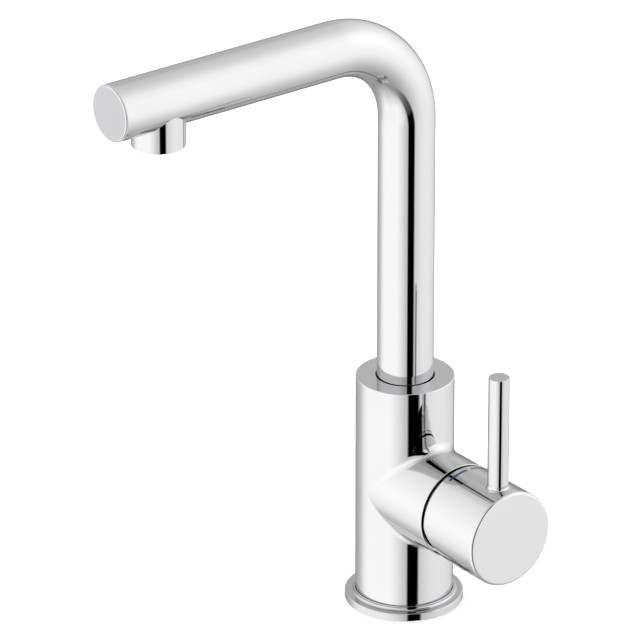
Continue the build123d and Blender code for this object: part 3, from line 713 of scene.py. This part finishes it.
mat, tree, node = shader("white_acetal", (0.82, 0.82, 0.8), 0.0, 0.4)
tree.links.new(span(tree, noise(tree, 600.0, 3.0), 0.34, 0.48), node.inputs["Roughness"])
tree.links.new(ramp(tree, noise(tree, 120.0), [(0.3, (0.78, 0.78, 0.76)), (0.7, (0.85, 0.85, 0.83))]), node.inputs["Base Color"])
bump(tree, node, noise(tree, 1200.0, 2.0), 0.1, 0.00005)
white_plastic = mat

mat, tree, node = shader("grey_plastic_moulded", (0.18, 0.18, 0.19), 0.0, 0.42)
tree.links.new(span(tree, noise(tree, 600.0, 3.0), 0.36, 0.5), node.inputs["Roughness"])
tree.links.new(ramp(tree, noise(tree, 120.0), [(0.3, (0.15, 0.15, 0.16)), (0.7, (0.21, 0.21, 0.22))]), node.inputs["Base Color"])
bump(tree, node, noise(tree, 1200.0, 2.0), 0.1, 0.00005)
grey_plastic = mat

mat, tree, node = shader("blue_enamel_fill", (0.012, 0.02, 0.11), 0.0, 0.18)
tree.links.new(ramp(tree, noise(tree, 500.0), [(0.3, (0.01, 0.016, 0.09)), (0.7, (0.015, 0.025, 0.13))]), node.inputs["Base Color"])
tree.links.new(span(tree, noise(tree, 900.0), 0.14, 0.26), node.inputs["Roughness"])
blue_enamel = mat

mat, tree, node = shader("red_enamel_fill", (0.11, 0.012, 0.02), 0.0, 0.18)
tree.links.new(ramp(tree, noise(tree, 500.0), [(0.3, (0.09, 0.01, 0.018)), (0.7, (0.13, 0.014, 0.024))]), node.inputs["Base Color"])
tree.links.new(span(tree, noise(tree, 900.0), 0.14, 0.26), node.inputs["Roughness"])
red_enamel = mat

BY_SLOT = {"chrome": chrome, "brass": brass, "steel": steel, "rubber": rubber, "ceramic": ceramic, "white_plastic": white_plastic,
           "grey_plastic": grey_plastic, "blue_enamel": blue_enamel, "red_enamel": red_enamel}
slot_of = {part["node"]: part["material_slot"] for part in frame["record"]["subparts"]}
for name, obj in frame["nodes"].items():
    obj.data.materials.clear()
    obj.data.materials.append(BY_SLOT[slot_of.get(name, "steel")])
# darker chrome copies on the ring and the pin: painted shade
PAINTED_SHADE_CHROME = {"base_ring": ring_chrome_painted_shade, "lever_pin": pin_chrome_painted_shade}
for piece, body, node_name, slot in pieces.values():
    piece.data.materials.append(PAINTED_SHADE_CHROME.get(node_name, BY_SLOT[slot]))
# only the flat of the end disc gets the satin chrome with its painted shade, its rounded rim is polished
disc_mesh = pieces["spout_end_disc"][0].data
disc_mesh.materials.append(satin_disc_painted_shade)
for face in disc_mesh.polygons:
    if face.normal.y < -0.999:
        face.material_index = 1

# ------------------------------------------------------------------ studio
# Two wide soft lights, one on each side, grey above and below, and a dark flag between them, in front and to the right.
# Angles in degrees: the bearing from the camera's own, positive to the right as seen by the object, and the height.
world = bpy.data.worlds.new("studio")
world.use_nodes = True
scene.world = world
wt = world.node_tree
wn, wl = wt.nodes, wt.links
wn.clear()


def math_node(op, a, b=None, c=None):
    node = wn.new("ShaderNodeMath")
    node.operation = op
    for i, value in enumerate((a, b, c)):
        if value is None:
            continue
        if isinstance(value, (int, float)):
            node.inputs[i].default_value = value
        else:
            wl.new(value, node.inputs[i])
    return node.outputs[0]


def soft(value, lo, hi, out_lo=0.0, out_hi=1.0):
    node = wn.new("ShaderNodeMapRange")
    node.interpolation_type = "SMOOTHSTEP"
    node.inputs["From Min"].default_value = lo
    node.inputs["From Max"].default_value = hi
    node.inputs["To Min"].default_value = out_lo
    node.inputs["To Max"].default_value = out_hi
    wl.new(value, node.inputs["Value"])
    return node.outputs["Result"]


def along(value, lo, hi, out_lo, out_hi):
    node = wn.new("ShaderNodeMapRange")
    node.inputs["From Min"].default_value = lo
    node.inputs["From Max"].default_value = hi
    node.inputs["To Min"].default_value = out_lo
    node.inputs["To Max"].default_value = out_hi
    wl.new(value, node.inputs["Value"])
    return node.outputs["Result"]


def bearing_from(centre):
    return math_node("WRAP", math_node("SUBTRACT", bearing, centre), 180.0, -180.0)


def window(value, centre, half, rise, fall):
    up = soft(value, centre - half - rise / 2, centre - half + rise / 2)
    down = soft(value, centre + half - fall / 2, centre + half + fall / 2, 1.0, 0.0)
    return math_node("MULTIPLY", up, down)


direction = wn.new("ShaderNodeTexCoord").outputs["Generated"]
split = wn.new("ShaderNodeSeparateXYZ")
wl.new(direction, split.inputs[0])
bearing = math_node("MULTIPLY", math_node("ARCTAN2", split.outputs[0], math_node("MULTIPLY", split.outputs[1], -1.0)), 57.29578)
bearing = math_node("WRAP", math_node("SUBTRACT", bearing, 52.831), 180.0, -180.0)
height = math_node("MULTIPLY", math_node("ARCSINE", split.outputs[2]), 57.29578)

level = soft(height, -40.0, 30.0, 0.565, 0.666)
CARDS = [
    # bearing, half width, soft left and right edge, height, half height, soft lower and upper edge, strength
    (-72.2, 56.2, 76.1, 55.3, -6.1, 66.5, 50.9, 72.7, 0.3865),
    (87.4, 64.9, 109.7, 120.0, 6.1, 56.0, 79.9, 72.1, 0.3431),
    # smaller bright and grey cards that even them out
    (-9.7, 15.8, 46.9, 46.9, -41.8, 18.6, 30.3, 30.3, 0.179),
    (-139.4, 22.3, 14.0, 14.0, -17.1, 45.0, 24.0, 24.0, -0.0525),
    (-72.1, 40.7, 29.1, 29.1, 33.2, 24.8, 56.1, 56.1, -0.116),
    (55.7, 16.1, 50.9, 50.9, 40.5, 26.5, 60.1, 60.1, -0.144),
    (172.2, 16.4, 40.0, 40.0, -22.7, 26.9, 34.3, 34.3, -0.2745),
    (-178.0, 8.0, 12.0, 12.0, 27.0, 8.9, 49.6, 49.6, -0.103),
]
for at, half, rise, fall, at_height, half_height, rise_height, fall_height, strength in CARDS:
    card = math_node("MULTIPLY", window(bearing_from(at), 0.0, half, rise, fall), window(height, at_height, half_height, rise_height, fall_height))
    level = math_node("ADD", level, math_node("MULTIPLY", card, strength))
# the flag leans a little to the left at its foot and to the right at its top, and is narrower halfway up
lean = math_node("ADD", along(height, -57.0, -27.0, -6.0, 0.0), along(height, -10.0, 20.0, 19.3, 17.0))
lean = math_node("ADD", lean, along(height, 28.0, 47.0, 0.0, 7.0))
spread = math_node("ADD", along(height, -10.0, 20.0, 1.0, 0.82), along(height, 28.0, 47.0, 0.0, 0.2))
flag = window(math_node("DIVIDE", math_node("SUBTRACT", bearing, lean), spread), 0.0, 12.4, 6.6, 7.6)
flag_foot = math_node("ADD", soft(height, -36.0, -30.0, 0.0, 0.36), soft(height, -74.5, -30.0, 0.0, 0.64))
flag = math_node("MULTIPLY", math_node("MULTIPLY", flag, flag_foot), soft(height, 50.0, 66.0, 1.0, 0.0))
level = math_node("MULTIPLY", math_node("MAXIMUM", level, 0.1), math_node("SUBTRACT", 1.0, flag))
CHROME_GREY = 0.47
radiance = math_node("DIVIDE", math_node("POWER", level, 2.2), CHROME_GREY)
wo = wn.new("ShaderNodeOutputWorld")
room = wn.new("ShaderNodeBackground")
wl.new(radiance, room.inputs["Color"])
plain = wn.new("ShaderNodeBackground")
plain.inputs["Color"].default_value = (1.0, 1.0, 1.0, 1.0)
mix = wn.new("ShaderNodeMixShader")
wl.new(wn.new("ShaderNodeLightPath").outputs["Is Camera Ray"], mix.inputs[0])
wl.new(room.outputs[0], mix.inputs[1])
wl.new(plain.outputs[0], mix.inputs[2])
wl.new(mix.outputs[0], wo.inputs["Surface"])

floor_mat = bpy.data.materials.new("studio_floor")
floor_mat.use_nodes = True
floor_node = floor_mat.node_tree.nodes["Principled BSDF"]
floor_node.inputs["Base Color"].default_value = (0.95, 0.95, 0.95, 1.0)
floor_node.inputs["Roughness"].default_value = 1.0
floor_node.inputs["Specular IOR Level"].default_value = 0.0
floor_node.inputs["Emission Color"].default_value = (1.0, 1.0, 1.0, 1.0)
floor_node.inputs["Emission Strength"].default_value = 0.16
floor_mesh = bpy.data.meshes.new("floor")
floor_mesh.from_pydata([(-6, -6, 0), (6, -6, 0), (6, 6, 0), (-6, 6, 0)], [], [(0, 1, 2, 3)])
floor_mesh.materials.append(floor_mat)
floor = bpy.data.objects.new("floor", floor_mesh)
scene.collection.objects.link(floor)
floor.visible_glossy = False
